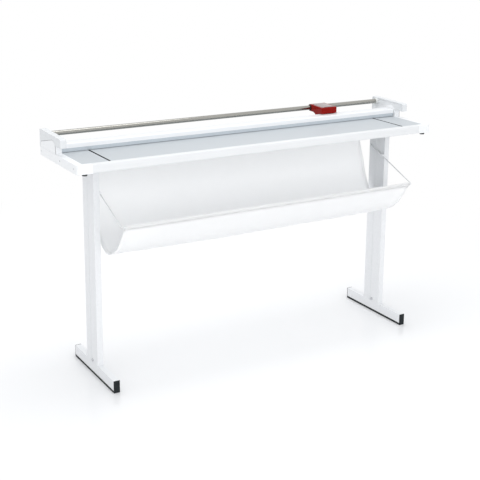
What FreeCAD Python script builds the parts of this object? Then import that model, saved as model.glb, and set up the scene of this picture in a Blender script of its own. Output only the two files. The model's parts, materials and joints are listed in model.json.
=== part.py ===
import FreeCAD, Part
import math
import os

# A sliding paper trimmer on its own stand, in millimetres.
# X runs along the table, Y to the back and Z up from the floor.
# While the pieces are made, Y is counted from the middle of the feet.

# Table
table_length = 1640.0
table_height = 900.0
board_thickness = 35.0
front_overhang = 172.0
rear_overhang = 210.0
end_cap_width = 28.0
cap_corner_length = 62.0
cap_corner_radius = 12.0
front_profile_depth = 20.0
front_profile_wall = 2.5
front_profile_radius = 5.0
tongue_thickness = 5.0
tongue_depth = 8.0
tongue_clearance = 0.3
cap_rear_radius = 2.0
cap_chamfer = 2.0
slot_inset = 138.0
slot_rear_y = 60.0
liner_width = 8.0
liner_depth = 5.0
liner_wall = 1.0
table_foot_radius = 10.0
table_foot_height = 7.0
table_foot_inset = 34.0
table_foot_front_inset = 12.0
table_foot_rear_inset = 20.0

# Cut line and lower blade
cut_line_y = 115.5
lower_blade_depth = 19.5
lower_blade_thickness = 3.0
lower_blade_end_gap = 4.0
cut_groove_width = 6.5

# Rails: the guide shaft on two brackets, each over a block on the table's end
bracket_width = 25.0
bracket_wall = 10.0
bracket_rear_rise = 69.0
bracket_nose_rise = 65.5
bracket_nose_reach = 50.0
bracket_nose_height = 34.5
bracket_corner_radius = 6.0
bracket_panel_depth = 2.0
bracket_panel_margin = 4.0
block_lead = 10.0
block_front_height = 16.0
block_corner_radius = 33.0
block_rear_height = 21.0
seam_width = 0.6
seam_depth = 0.8
shaft_radius = 10.0
shaft_rise = 51.0
shaft_behind_cut = 62.5
shaft_boss_radius = 15.0
shaft_end_wall = 5.0
bumper_radius = 13.0
bumper_length = 10.0

# Clamp beam, raised off the table by two rubber springs
clamp_lift = 1.5
clamp_pad_thickness = 2.0
beam_behind_gap = 10.5
beam_depth = 55.0
beam_height = 18.0
beam_wall = 2.5
beam_leg_height = 12.5
beam_leg_depth = 5.0
beam_radius = 4.0
beam_end_gap = 1.0
strip_flange_depth = 12.0
strip_thickness = 3.0
strip_lean = 2.0
plug_flange = 3.0
plug_length = 22.0
plug_clearance = 0.2
plug_tongue_length = 14.0
plug_tongue_width = 24.0
plug_tongue_height = 9.0
tongue_side_gap = 0.4
tongue_end_gap = 2.0
spring_radius = 7.0
spring_height = 8.0

# Cutting head
head_rest_x = 462.5
head_width = 80.0
head_front_lead = 30.5
head_front_rise = 63.0
head_over_beam = 2.5
head_lip_front = 7.5
head_lip_rear = 6.5
head_lip_rise = 6.0
head_arch_foot_rise = 9.0
head_arch_flat = 17.0
head_boss_wall = 2.5
head_edge_chamfer = 1.5
head_front_radius = 4.0
bush_wall = 3.0
bush_past_head = 1.5
shaft_clearance = 0.05
lid_width = 64.0
lid_length = 74.0
lid_front_margin = 7.0
lid_radius = 8.0
lid_seat_depth = 4.5
lid_clearance = 0.2
lid_crown_radius = 180.0
lid_crown_rise = 3.2
cavity_margin = 5.0
cavity_floor_rise = 50.0
rotary_blade_radius = 22.5
rotary_blade_thickness = 1.2
rotary_blade_bevel = 1.0
rotary_blade_dip = 1.5
shear_gap = 0.1
blade_slot_wall = 2.5
blade_slot_side_gap = 3.0
bore_clearance = 0.05
hub_radius = 8.0
hub_spigot_radius = 6.0
hub_flange_width = 2.8
hub_front_width = 2.4
axle_radius = 3.0
roller_radius = 6.0
roller_width = 12.0
roller_pin_radius = 2.0
roller_gap = 0.2
roller_room = 1.5
roller_side_room = 0.5
roller_front_inset = 4.0
roller_pin_end = 2.5

# Stand
column_end_gap = 114.7
column_thickness = 25.0
column_depth = 108.0
column_middle_y = 14.0
column_wall = 2.0
column_radius = 1.5
column_groove_width = 2.0
column_groove_depth = 0.8
column_groove_from_rear = 48.0
foot_length = 397.0
foot_height = 40.0
foot_wall = 2.0
foot_strip_height = 8.5
foot_cap_thickness = 4.0
foot_cap_plug = 12.0
foot_cap_radius = 1.5
plug_gap = 0.2
spigot_height = 60.0
spigot_wall = 3.0
column_bolt_y = 8.0
column_bolt_rise = 9.0
column_bolt_radius = 4.0
column_bolt_head_radius = 6.5
column_bolt_head_height = 4.5
column_bolt_clearance = 0.15
column_nut_radius = 7.0
column_nut_height = 6.5
plate_length = 90.0
plate_depth = 150.0
plate_thickness = 4.0
plate_radius = 8.0

# Catcher
cloth_side_gap = 15.3
cloth_thickness = 1.5
cloth_sag = 6.0
cloth_stations = 5
# Points of the cloth's line between its rods: Y, drop below the table and share of the sag
cloth_line = ((-194, 262, 0.3), (-150, 313, 0.7), (-62, 352, 1.0), (20, 304, 0.7),
              (70, 228, 0.3), (96, 149, 0.1), (124, 77, 0.0))
rod_radius = 5.0
rod_wall = 1.0
rod_past_cloth = 0.8
rod_y = -235.0
rod_drop = 200.5
sleeve_gap = 0.3
rear_rod_radius = 4.0
rear_rod_past_hook = 1.5
rear_rod_y = 152.0
rear_rod_drop = 9.5
rod_cap_radius = 6.0
rod_cap_thickness = 3.0
arm_radius = 2.25
arm_column_gap = 2.5
arm_rod_end = 14.0
arm_rear_y = 58.0
arm_slope = 0.402
arm_column_end = 9.0
arm_clearance = 0.1
clip_from_front = 10.0
clip_length = 14.0
clip_height = 12.0
clip_wall = 1.6
hook_width = 12.0
hook_thickness = 2.0
hook_plate_length = 34.0
hook_plate_width = 22.0
hook_cloth_gap = 1.5
hook_rod_gap = 0.3

# Places that follow from the sizes
V = FreeCAD.Vector
AXIS_X = V(1, 0, 0)
AXIS_Y = V(0, 1, 0)
AXIS_Z = V(0, 0, 1)
near = 0.001
past = 1.0

table_half = table_length / 2
table_bottom = table_height - board_thickness
table_front_y = -front_overhang
board_half = table_half - end_cap_width
slot_x = table_half - slot_inset
board_front_y = table_front_y + front_profile_depth
groove_front_y = cut_line_y - cut_groove_width
blade_rear_y = cut_line_y + lower_blade_depth
blade_bottom = table_height - lower_blade_thickness

bracket_inner_x = table_half - bracket_width
shaft_y = cut_line_y + shaft_behind_cut
shaft_z = table_height + shaft_rise

beam_rear_y = cut_line_y - beam_behind_gap
beam_front_y = beam_rear_y - beam_depth
clamp_bottom = table_height + clamp_lift
beam_leg_bottom = clamp_bottom + clamp_pad_thickness
beam_bottom = beam_leg_bottom + beam_leg_height
beam_top = beam_bottom + beam_height
beam_half = bracket_inner_x - beam_end_gap - plug_flange
beam_middle_y = (beam_front_y + beam_rear_y) / 2

block_front_y = beam_front_y - block_lead
block_rear_y = rear_overhang - bracket_wall
block_front_z = table_height + block_front_height
block_top_z = block_front_z + block_corner_radius
block_rear_z = table_height + block_rear_height
nose_front_y = block_front_y - bracket_nose_reach
nose_top_z = table_height + bracket_nose_rise
nose_bottom_z = nose_top_z - bracket_nose_height
bracket_rear_z = table_height + bracket_rear_rise

plug_tongue_z = (beam_bottom + beam_top - plug_tongue_height) / 2
pocket_floor = plug_tongue_z - spring_height

head_x = (head_rest_x - head_width / 2, head_rest_x + head_width / 2)
head_front_y = cut_line_y - head_front_lead
head_front_z = table_height + head_front_rise
head_under_z = beam_top + head_over_beam
lip_front_y = cut_line_y - head_lip_front
lip_rear_y = cut_line_y + head_lip_rear
lip_bottom = table_height + head_lip_rise
bush_radius = shaft_radius + bush_wall
boss_radius = bush_radius + head_boss_wall
lid_top_z = shaft_z + boss_radius + lid_crown_rise + past
rotary_blade_z = table_height - rotary_blade_dip + rotary_blade_radius
rotary_blade_rear_y = cut_line_y - shear_gap
rotary_blade_front_y = rotary_blade_rear_y - rotary_blade_thickness
blade_slot_y = (lip_front_y + blade_slot_wall, lip_rear_y - blade_slot_wall)
roller_z = beam_top + roller_gap + roller_radius
roller_front_y = head_front_y + roller_front_inset

column_outer_x = table_half - column_end_gap
column_inner_x = column_outer_x - column_thickness
column_middle_x = column_inner_x + column_thickness / 2
column_front_y = column_middle_y - column_depth / 2
column_rear_y = column_middle_y + column_depth / 2
foot_top = foot_strip_height + foot_height
column_top = table_bottom - plate_thickness
cloth_half_width = column_inner_x - cloth_side_gap
rod_half_length = cloth_half_width + rod_past_cloth
rod_z = table_bottom - rod_drop
arm_x = column_inner_x - arm_column_gap - arm_radius
arm_rear_z = rod_z + arm_slope * (arm_rear_y - rod_y)
clip_y = column_front_y + clip_from_front
clip_z = rod_z + arm_slope * (clip_y - rod_y)
rear_rod_z = table_bottom - rear_rod_drop
sleeve_radius = rod_radius + sleeve_gap + cloth_thickness
rear_sleeve_radius = rear_rod_radius + sleeve_gap + cloth_thickness
hook_x = cloth_half_width + hook_cloth_gap + hook_width / 2
rear_rod_half_length = hook_x + hook_width / 2 + rear_rod_past_hook

# The finished model's origin is on the floor, in the middle of the whole outline.
outline_front_y = rod_y - sleeve_radius
middle_y = (outline_front_y + rear_overhang) / 2


# Helpers

def box(x, y, z):
    """A block between the lowest and highest X, Y and Z given."""
    size = (x[1] - x[0], y[1] - y[0], z[1] - z[0])
    return Part.makeBox(*size, V(x[0], y[0], z[0]))


def rod(radius, start, end):
    """A round bar from one point to another."""
    return Part.makeCylinder(radius, (end - start).Length, start, end - start)


def ring(outer, inner, start, end):
    """A round tube from one point to another."""
    return rod(outer, start, end).cut(rod(inner, start, end))


def side_face(start, steps):
    """A face in the YZ plane. A step is the next point, or an arc's middle point and end."""
    edges = []
    here = V(0, *start)
    for step in steps:
        if isinstance(step[0], tuple):
            end = V(0, *step[1])
            edges.append(Part.Arc(here, V(0, *step[0]), end).toShape())
        else:
            end = V(0, *step)
            edges.append(Part.LineSegment(here, end).toShape())
        here = end
    return Part.Face(Part.Wire(edges))


def along_x(face, x_from, x_to):
    """A side face stretched along X from one place to the other."""
    placed = face.copy()
    placed.translate(V(x_from, 0, 0))
    return placed.extrude(V(x_to - x_from, 0, 0))


def plan_plate(x, y, z, radius):
    """A flat plate with rounded corners, seen from above."""
    plate = box(x, y, z)
    corners = [edge for edge in plate.Edges if edge.BoundBox.ZLength > (z[1] - z[0]) - near]
    return plate.makeFillet(radius, corners)


def lies_at(edge, x=None, y=None, z=None):
    """Whether the whole edge lies at the X, Y or Z given."""
    reach = edge.BoundBox
    spans = ((x, reach.XMin, reach.XMax), (y, reach.YMin, reach.YMax), (z, reach.ZMin, reach.ZMax))
    return all(want is None or max(abs(low - want), abs(high - want)) < near
               for want, low, high in spans)


def round_edges(solid, radius, chosen):
    """The solid with its chosen edges rounded."""
    return solid.makeFillet(radius, [edge for edge in solid.Edges if chosen(edge)])


def bevel_edges(solid, size, chosen):
    """The solid with its chosen edges cut off at 45 degrees."""
    return solid.makeChamfer(size, [edge for edge in solid.Edges if chosen(edge)])


def mirrored(shape):
    """The same piece on the left."""
    return shape.mirror(V(0, 0, 0), AXIS_X)


def arc_middle(centre, radius, start, end):
    """The point halfway along an arc, between two angles in degrees."""
    angle = math.radians((start + end) / 2)
    return (centre[0] + radius * math.cos(angle), centre[1] + radius * math.sin(angle))


# Stand

def column():
    x = (column_inner_x, column_outer_x)
    y = (column_front_y, column_rear_y)
    z = (foot_top, column_top)
    tube = box(x, y, z)
    tube = round_edges(tube, column_radius, lambda edge: edge.BoundBox.ZLength > near)
    hollow = box((x[0] + column_wall, x[1] - column_wall),
                 (y[0] + column_wall, y[1] - column_wall), z)
    tube = tube.cut(hollow)
    groove_y = column_rear_y - column_groove_from_rear
    for face_x in x:
        tube = tube.cut(box((face_x - column_groove_depth, face_x + column_groove_depth),
                            (groove_y - column_groove_width / 2, groove_y + column_groove_width / 2),
                            z))
    arm_hole = rod(arm_radius + arm_clearance,
                   V(x[0] - past, arm_rear_y, arm_rear_z),
                   V(x[0] + column_wall + past, arm_rear_y, arm_rear_z))
    return tube.cut(arm_hole).cut(column_bolt_hole())


def column_bolt_hole():
    height = foot_top + column_bolt_rise
    return rod(column_bolt_radius + column_bolt_clearance,
               V(column_inner_x - past, column_bolt_y, height),
               V(column_outer_x + past, column_bolt_y, height))


def column_bolt(side):
    """The bolt through a column's bottom. Its head faces -X on both sides."""
    low_x = column_inner_x if side > 0 else -column_outer_x
    height = foot_top + column_bolt_rise
    shank_end = low_x + column_thickness + column_nut_height - column_wall
    head = rod(column_bolt_head_radius,
               V(low_x - column_bolt_head_height, column_bolt_y, height),
               V(low_x, column_bolt_y, height))
    return head.fuse(rod(column_bolt_radius,
                         V(low_x, column_bolt_y, height),
                         V(shank_end, column_bolt_y, height)))


def column_nut(side):
    """The blind nut on the bolt's far end."""
    base_x = column_outer_x if side > 0 else -column_inner_x
    height = foot_top + column_bolt_rise
    hexagon = Part.makePolygon([
        V(base_x,
          column_bolt_y + column_nut_radius * math.cos(math.radians(60 * turn)),
          height + column_nut_radius * math.sin(math.radians(60 * turn)))
        for turn in range(7)])
    nut = Part.Face(hexagon).extrude(V(column_nut_height, 0, 0))
    return nut.cut(rod(column_bolt_radius,
                       V(base_x, column_bolt_y, height),
                       V(base_x + column_nut_height - column_wall, column_bolt_y, height)))


def foot_spigot():
    """A stub of tube, welded to the foot, that stands inside the column."""
    inset = column_wall + plug_gap
    x = (column_inner_x + inset, column_outer_x - inset)
    y = (column_front_y + inset, column_rear_y - inset)
    z = (foot_top, foot_top + spigot_height)
    hollow = box((x[0] + spigot_wall, x[1] - spigot_wall),
                 (y[0] + spigot_wall, y[1] - spigot_wall), z)
    return box(x, y, z).cut(hollow).cut(column_bolt_hole())


def foot():
    x = (column_inner_x, column_outer_x)
    end_y = foot_length / 2 - foot_cap_thickness
    y = (-end_y, end_y)
    z = (foot_strip_height, foot_top)
    tube = round_edges(box(x, y, z), column_radius, lambda edge: edge.BoundBox.YLength > near)
    hollow = box((x[0] + foot_wall, x[1] - foot_wall), y, (z[0] + foot_wall, z[1] - foot_wall))
    return tube.cut(hollow)


def foot_strip():
    end_y = foot_length / 2 - foot_cap_thickness
    return box((column_inner_x, column_outer_x), (-end_y, end_y), (0, foot_strip_height))


def foot_cap(end):
    """The black cap on the foot's front (-1) or rear (+1) end."""
    face_y = end * foot_length / 2
    inner_y = face_y - end * foot_cap_thickness
    y = (min(face_y, inner_y), max(face_y, inner_y))
    plate = box((column_inner_x, column_outer_x), y, (0, foot_top))
    plate = round_edges(plate, foot_cap_radius,
                        lambda edge: lies_at(edge, y=face_y) and not lies_at(edge, z=0))
    plug_end = inner_y - end * foot_cap_plug
    gap = foot_wall + plug_gap
    plug = box((column_inner_x + gap, column_outer_x - gap),
               (min(inner_y, plug_end), max(inner_y, plug_end)),
               (foot_strip_height + gap, foot_top - gap))
    return plate.fuse(plug)


def top_plate():
    """The plate on a column's top, screwed to the table from below."""
    return plan_plate((column_middle_x - plate_length / 2, column_middle_x + plate_length / 2),
                      (column_middle_y - plate_depth / 2, column_middle_y + plate_depth / 2),
                      (column_top, table_bottom), plate_radius)


# Table

def table_foot_places():
    x = table_half - table_foot_inset
    return [V(side * x, y, table_bottom)
            for side in (-1, 1)
            for y in (table_front_y + table_foot_front_inset, rear_overhang - table_foot_rear_inset)]


def table_board():
    board = box((-board_half, board_half), (board_front_y, rear_overhang),
                (table_bottom, table_height))
    middle_z = table_height - board_thickness / 2
    tongue_half = tongue_thickness / 2 + tongue_clearance
    board = board.cut(box((-board_half, board_half),
                          (board_front_y, board_front_y + tongue_depth + tongue_clearance),
                          (middle_z - tongue_half, middle_z + tongue_half)))
    board = board.cut(box((-board_half, board_half), (groove_front_y, blade_rear_y),
                          (blade_bottom, table_height)))
    for side in (-1, 1):
        middle_x = side * slot_x
        board = board.cut(box((middle_x - liner_width / 2, middle_x + liner_width / 2),
                              (board_front_y, slot_rear_y),
                              (table_height - liner_depth, table_height)))
    return board


def front_profile():
    """The rounded lip along the table's front, hollow, with a tongue in the board's groove."""
    half = table_half - cap_corner_length
    y = (table_front_y, board_front_y)
    lip = box((-half, half), y, (table_bottom, table_height))
    lip = round_edges(lip, front_profile_radius,
                      lambda edge: lies_at(edge, y=y[0]) and edge.BoundBox.XLength > near)
    wall = front_profile_wall
    lip = lip.cut(box((-half, half), (y[0] + wall, y[1] - wall),
                      (table_bottom + wall, table_height - wall)))
    middle_z = table_height - board_thickness / 2
    return lip.fuse(box((-half, half), (y[1], y[1] + tongue_depth),
                        (middle_z - tongue_thickness / 2, middle_z + tongue_thickness / 2)))


def end_cap():
    """The moulded end of the table, with a corner that closes the front profile."""
    z = (table_bottom, table_height)
    body = box((board_half, table_half), (table_front_y, rear_overhang), z)
    corner = box((table_half - cap_corner_length, table_half), (table_front_y, board_front_y), z)
    cap = body.fuse(corner).removeSplitter()
    cap = round_edges(cap, cap_corner_radius,
                      lambda edge: lies_at(edge, x=table_half, y=table_front_y))
    cap = round_edges(cap, cap_rear_radius,
                      lambda edge: lies_at(edge, x=table_half, y=rear_overhang))
    return bevel_edges(cap, cap_chamfer, is_cap_rim)


def is_cap_rim(edge):
    """The top edges along the cap's front and round its corner."""
    reach = edge.BoundBox
    inner_x = table_half - cap_corner_length
    return (lies_at(edge, z=table_height) and reach.YMin < table_front_y + near
            and reach.XMax > inner_x + near)


def slot_liner():
    """A U-shaped liner let into the table's top."""
    x = (slot_x - liner_width / 2, slot_x + liner_width / 2)
    y = (board_front_y, slot_rear_y)
    liner = box(x, y, (table_height - liner_depth, table_height))
    return liner.cut(box((x[0] + liner_wall, x[1] - liner_wall), y,
                         (table_height - liner_depth + liner_wall, table_height)))


def lower_blade():
    half = board_half - lower_blade_end_gap
    return box((-half, half), (cut_line_y, blade_rear_y), (blade_bottom, table_height))


def table_foot(place):
    return rod(table_foot_radius, place - AXIS_Z * table_foot_height, place)


# Rails

def block_face(inset=0.0):
    """The rail block's outline, drawn in by the inset along its seam with the bracket."""
    centre = (block_front_y + block_corner_radius, block_front_z)
    radius = block_corner_radius - inset
    front_y = block_front_y + inset
    middle = arc_middle(centre, radius, 180, 90)
    return side_face((front_y, table_height), [
        (front_y, block_front_z),
        (middle, (centre[0], block_top_z - inset)),
        (block_rear_y - inset, block_rear_z - inset),
        (block_rear_y - inset, table_height),
        (front_y, table_height)])


def rail_block():
    """A block on the end cap, with a pocket for the clamp's tongue and its spring."""
    skin_x = table_half - seam_depth
    block = along_x(block_face(), bracket_inner_x, skin_x)
    block = block.fuse(along_x(block_face(seam_width), skin_x, table_half))
    half = plug_tongue_width / 2 + tongue_side_gap
    pocket_end = bracket_inner_x + plug_tongue_length + tongue_end_gap
    pocket_top = plug_tongue_z + plug_tongue_height + tongue_side_gap
    block = block.cut(box((bracket_inner_x, pocket_end),
                          (beam_middle_y - half, beam_middle_y + half),
                          (pocket_floor, pocket_top)))
    return block


def bracket_face(inset=0.0):
    """The bracket's outline over the block: rear wall, long top and hovering nose."""
    slope = (bracket_rear_z - nose_top_z) / (rear_overhang - nose_front_y)
    radius = bracket_corner_radius
    rear_y = rear_overhang - inset
    front_y = nose_front_y + inset
    lean = math.degrees(math.atan(slope))
    rear_top = bracket_rear_z - inset
    nose_top = nose_top_z - inset
    rear_centre = (rear_y - radius, rear_top - radius)
    nose_centre = (front_y + radius, nose_top - radius)
    rear_angle = 90 + lean
    return side_face((rear_y, table_height), [
        (rear_y, rear_centre[1]),
        (arc_middle(rear_centre, radius, 0, rear_angle),
         (rear_centre[0] + radius * math.cos(math.radians(rear_angle)),
          rear_centre[1] + radius * math.sin(math.radians(rear_angle)))),
        (nose_centre[0] + radius * math.cos(math.radians(rear_angle)),
         nose_centre[1] + radius * math.sin(math.radians(rear_angle))),
        (arc_middle(nose_centre, radius, rear_angle, 180), (front_y, nose_centre[1])),
        (front_y, nose_bottom_z + inset),
        (block_front_y + block_corner_radius, nose_bottom_z + inset),
        (block_front_y + block_corner_radius, table_height),
        (rear_y, table_height)])


def shaft_bracket():
    """The casting that holds one end of the shaft, seated over the rail block."""
    block = along_x(block_face(), bracket_inner_x - past, table_half + past)
    bracket = along_x(bracket_face(), bracket_inner_x, table_half).cut(block)
    margin = bracket_panel_margin
    grown_block = side_face((block_front_y - margin, table_height - margin), [
        (block_front_y - margin, block_front_z),
        (arc_middle((block_front_y + block_corner_radius, block_front_z),
                    block_corner_radius + margin, 180, 90),
         (block_front_y + block_corner_radius, block_top_z + margin)),
        (rear_overhang, block_rear_z + margin),
        (rear_overhang, table_height - margin),
        (block_front_y - margin, table_height - margin)])
    panel = along_x(bracket_face(margin), bracket_inner_x, bracket_inner_x + bracket_panel_depth)
    panel = panel.cut(along_x(grown_block, bracket_inner_x, bracket_inner_x + bracket_panel_depth))
    boss = rod(shaft_boss_radius, V(bracket_inner_x, shaft_y, shaft_z),
               V(bracket_inner_x + bracket_panel_depth, shaft_y, shaft_z))
    bracket = bracket.cut(panel.cut(boss))
    return bracket.cut(guide_shaft())


def guide_shaft():
    end_x = table_half - shaft_end_wall
    return rod(shaft_radius, V(-end_x, shaft_y, shaft_z), V(end_x, shaft_y, shaft_z))


def shaft_bumper():
    """A rubber collar on the shaft, against the bracket's inner face."""
    return ring(bumper_radius, shaft_radius, V(bracket_inner_x - bumper_length, shaft_y, shaft_z),
                V(bracket_inner_x, shaft_y, shaft_z))


# Clamp

def beam_body_box(x, shrink=0.0):
    return box(x, (beam_front_y + shrink, beam_rear_y - shrink),
               (beam_bottom + shrink, beam_top - shrink))


def clamp_beam():
    """A hollow beam with rounded shoulders and a leg behind, close to the cut."""
    x = (-beam_half, beam_half)
    beam = round_edges(beam_body_box(x), beam_radius,
                       lambda edge: lies_at(edge, z=beam_top) and edge.BoundBox.XLength > near)
    beam = beam.cut(beam_body_box(x, beam_wall))
    return beam.fuse(box(x, (beam_rear_y - beam_leg_depth, beam_rear_y),
                         (beam_leg_bottom, beam_bottom)))


def clamp_strip():
    """The clear strip under the beam's front edge: a flange above and a lip to the table."""
    flange_z = beam_bottom - strip_thickness
    face = side_face((beam_front_y, beam_bottom), [
        (beam_front_y + strip_flange_depth, beam_bottom),
        (beam_front_y + strip_flange_depth, flange_z),
        (beam_front_y + strip_thickness, flange_z),
        (beam_front_y + strip_thickness + strip_lean, clamp_bottom),
        (beam_front_y + strip_lean, clamp_bottom),
        (beam_front_y, beam_bottom)])
    return along_x(face, -beam_half, beam_half)


def clamp_pad():
    return box((-beam_half, beam_half), (beam_rear_y - beam_leg_depth, beam_rear_y),
               (clamp_bottom, beam_leg_bottom))


def clamp_plug():
    """The beam's end: a plug in the beam, a flange and a tongue in the rail block's pocket."""
    flange_end = beam_half + plug_flange
    plug = beam_body_box((beam_half - plug_length, beam_half), beam_wall + plug_clearance)
    flange = round_edges(beam_body_box((beam_half, flange_end)), beam_radius,
                         lambda edge: lies_at(edge, z=beam_top) and edge.BoundBox.XLength > near)
    tongue = box((flange_end, bracket_inner_x + plug_tongue_length),
                 (beam_middle_y - plug_tongue_width / 2, beam_middle_y + plug_tongue_width / 2),
                 (plug_tongue_z, plug_tongue_z + plug_tongue_height))
    return plug.fuse(flange).fuse(tongue)


def lift_spring():
    """A rubber spring in the rail block's pocket, under the clamp's tongue."""
    middle_x = bracket_inner_x + plug_tongue_length / 2
    return rod(spring_radius, V(middle_x, beam_middle_y, pocket_floor),
               V(middle_x, beam_middle_y, plug_tongue_z))


# Cutting head

def head_outline():
    """The head's side: front, sloping top, boss round the shaft, arch and blade guard."""
    reach = math.hypot(shaft_y - head_front_y, shaft_z - head_front_z)
    slope = head_top_slope()
    run = math.sqrt(reach ** 2 - boss_radius ** 2)
    top_end = (head_front_y + run * math.cos(slope), head_front_z + run * math.sin(slope))
    boss_bottom = shaft_z - boss_radius
    arch_start_y = shaft_y - head_arch_flat
    arch_foot = table_height + head_arch_foot_rise
    across = arch_start_y - lip_rear_y
    drop = boss_bottom - arch_foot
    arch_radius = (across ** 2 + drop ** 2) / (2 * drop)
    arch_centre = (arch_start_y, boss_bottom - arch_radius)
    arch_end_angle = math.degrees(math.atan2(arch_foot - arch_centre[1],
                                             lip_rear_y - arch_centre[0]))
    return side_face((head_front_y, head_under_z), [
        (head_front_y, head_front_z),
        top_end,
        ((shaft_y + boss_radius, shaft_z), (shaft_y, boss_bottom)),
        (arch_start_y, boss_bottom),
        (arc_middle(arch_centre, arch_radius, 90, arch_end_angle), (lip_rear_y, arch_foot)),
        (lip_rear_y, lip_bottom),
        (lip_front_y, lip_bottom),
        (lip_front_y, head_under_z),
        (head_front_y, head_under_z)])


def head_top_slope():
    """The angle of the head's top, which runs from the front edge onto the shaft's boss."""
    reach = math.hypot(shaft_y - head_front_y, shaft_z - head_front_z)
    down = math.atan2(shaft_z - head_front_z, shaft_y - head_front_y)
    return down + math.asin(boss_radius / reach)


def lid_plan(grow, z):
    """A rounded plate over the head's middle, the lid's own plan or its pocket's."""
    half = lid_width / 2 + grow
    front_y = head_front_y + lid_front_margin - grow
    return plan_plate((head_rest_x - half, head_rest_x + half),
                      (front_y, head_front_y + lid_front_margin + lid_length + grow),
                      z, lid_radius + grow)


def head_body():
    body = along_x(head_outline(), *head_x)
    body = round_edges(body, head_front_radius,
                       lambda edge: lies_at(edge, y=head_front_y, z=head_front_z))
    body = bevel_edges(body, head_edge_chamfer, is_head_rim)
    seat_z = head_front_z - lid_seat_depth
    body = body.cut(lid_plan(lid_clearance, (seat_z, lid_top_z)))
    floor_z = table_height + cavity_floor_rise
    body = body.cut(lid_plan(-cavity_margin, (floor_z, seat_z)))
    slot_half = rotary_blade_radius + blade_slot_side_gap
    body = body.cut(box((head_rest_x - slot_half, head_rest_x + slot_half), blade_slot_y,
                        (lip_bottom, floor_z)))
    body = body.cut(rod(bush_radius, V(head_x[0], shaft_y, shaft_z),
                        V(head_x[1], shaft_y, shaft_z)))
    body = body.cut(rod(roller_radius + roller_room,
                        at_roller(roller_front_y - roller_side_room),
                        at_roller(roller_front_y + roller_width + roller_side_room)))
    return body.cut(blade_axle()).cut(roller_pin())


def is_head_rim(edge):
    """The edges of the head's two sides along the front, the top and the boss."""
    on_side = lies_at(edge, x=head_x[0]) or lies_at(edge, x=head_x[1])
    middle = edge.valueAt((edge.FirstParameter + edge.LastParameter) / 2)
    in_front = middle.y < head_front_y + near
    on_top = middle.z > head_front_z - head_front_radius
    round_boss = middle.y > shaft_y
    return on_side and (in_front or on_top or round_boss)


def head_lid():
    """The crowned plate let into the head's top."""
    blank = lid_plan(0.0, (head_front_z - lid_seat_depth, lid_top_z))
    slope = head_top_slope()
    along = V(0, math.cos(slope), math.sin(slope))
    upward = V(0, -math.sin(slope), math.cos(slope))
    crest = V(head_rest_x, head_front_y, head_front_z) + upward * lid_crown_rise
    axis = crest - upward * lid_crown_radius
    reach = along * (head_width + lid_length)
    return blank.common(rod(lid_crown_radius, axis - reach, axis + reach))


def shaft_bush():
    """The plain bush through the head's boss, standing proud at both ends."""
    return ring(bush_radius, shaft_radius + shaft_clearance,
                V(head_x[0] - bush_past_head, shaft_y, shaft_z),
                V(head_x[1] + bush_past_head, shaft_y, shaft_z))


def at_blade_axis(y):
    return V(head_rest_x, y, rotary_blade_z)


def rotary_blade():
    """A round blade bevelled on its front, with its edge against the lower blade."""
    disc = Part.makeCone(rotary_blade_radius - rotary_blade_bevel, rotary_blade_radius,
                         rotary_blade_thickness, at_blade_axis(rotary_blade_front_y), AXIS_Y)
    return disc.cut(rod(hub_spigot_radius, at_blade_axis(rotary_blade_front_y),
                        at_blade_axis(rotary_blade_rear_y)))


def blade_hub():
    """The hub's flange behind the blade and its spigot through it."""
    bore = axle_radius + bore_clearance
    flange = ring(hub_radius, bore, at_blade_axis(rotary_blade_rear_y),
                  at_blade_axis(rotary_blade_rear_y + hub_flange_width))
    spigot = ring(hub_spigot_radius, bore, at_blade_axis(rotary_blade_front_y - hub_front_width),
                  at_blade_axis(rotary_blade_rear_y))
    return flange.fuse(spigot)


def blade_axle():
    """The pin through the blade guard's two walls."""
    return rod(axle_radius, at_blade_axis(lip_front_y + past), at_blade_axis(lip_rear_y))


def at_roller(y):
    return V(head_rest_x, y, roller_z)


def pressure_roller():
    """The roller in front of the blade, which presses the clamp beam down."""
    return ring(roller_radius, roller_pin_radius + bore_clearance,
                at_roller(roller_front_y), at_roller(roller_front_y + roller_width))


def roller_pin():
    end = roller_side_room + roller_pin_end
    return rod(roller_pin_radius, at_roller(roller_front_y - end),
               at_roller(roller_front_y + roller_width + end))


# Catcher

def cloth_section(x):
    """The cloth's closed outline at one place along its width, from rod to rod."""
    sag = cloth_sag * (1 - (x / cloth_half_width) ** 2)
    line = [V(x, rod_y, rod_z)]
    line += [V(x, y, table_bottom - drop - sag * share) for y, drop, share in cloth_line]
    line.append(V(x, rear_rod_y, rear_rod_z))
    first = (line[1] - line[0]).normalize()
    last = (line[-1] - line[-2]).normalize()
    line[0] = line[0] + first * (sleeve_radius - cloth_thickness / 2)
    line[-1] = line[-1] - last * (rear_sleeve_radius - cloth_thickness / 2)
    sides = []
    for side in (-1, 1):
        shifted = []
        for number, point in enumerate(line):
            before = line[max(number - 1, 0)]
            after = line[min(number + 1, len(line) - 1)]
            run = (after - before).normalize()
            shifted.append(point + V(0, -run.z, run.y) * (side * cloth_thickness / 2))
        sides.append(shifted)
    outside, inside = sides
    edges = [Part.Arc(*outside[start:start + 3]).toShape() for start in range(0, len(line) - 2, 2)]
    edges.append(Part.LineSegment(outside[-1], inside[-1]).toShape())
    inside.reverse()
    edges += [Part.Arc(*inside[start:start + 3]).toShape() for start in range(0, len(line) - 2, 2)]
    edges.append(Part.LineSegment(inside[-1], outside[0]).toShape())
    return Part.Wire(edges)


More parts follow.
